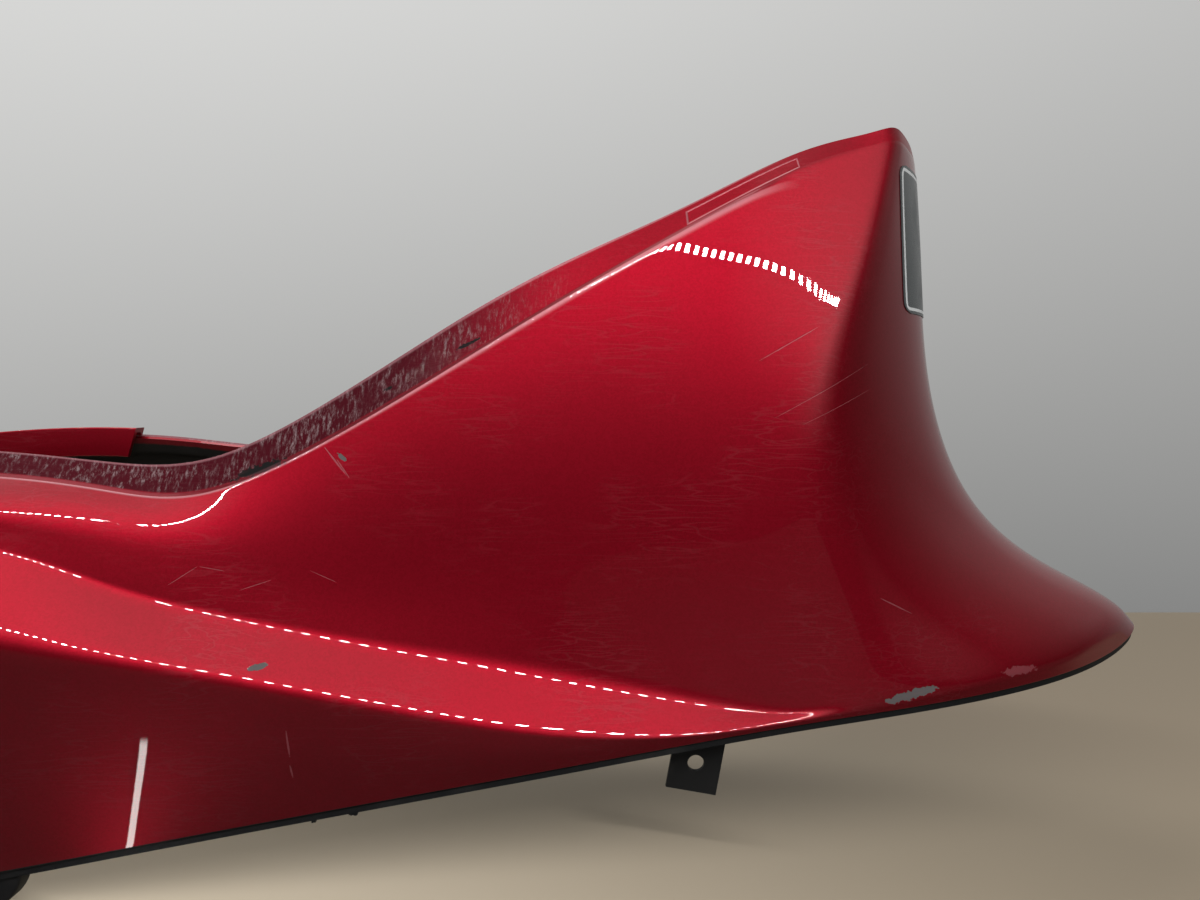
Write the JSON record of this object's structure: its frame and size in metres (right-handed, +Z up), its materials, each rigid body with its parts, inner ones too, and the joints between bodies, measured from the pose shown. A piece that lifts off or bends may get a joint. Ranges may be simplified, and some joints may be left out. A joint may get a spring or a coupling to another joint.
{
  "type": "motorcycle tail fairing",
  "caption": "Painted tail fairing moulding with a stepped seat rim, tall rear wall, ducktail, lower creases, steel fixing tabs and a bare label film.",
  "frame": {"origin": "centre of the outline seen from above, at the height of the lowest edge", "axes": "+X to the rear of the motorcycle, -Y its left side, +Z up"},
  "size_m": [0.686, 0.2228, 0.321],
  "materials": {
    "painted_shell": "metallic candy red under clear coat on black moulded plastic, scuffed and scratched",
    "label": "dark slate film with a pale border line",
    "tab_steel": "satin black coating",
    "screw_steel": "darkened zinc plating"
  },
  "bodies": {
    "root": {"tail_shell": "painted_shell", "label_film": "label", "rear_tab_left": "tab_steel", "rear_tab_right": "tab_steel", "tab_screws_left": "screw_steel", "tab_screws_right": "screw_steel"}
  },
  "joints": []
}
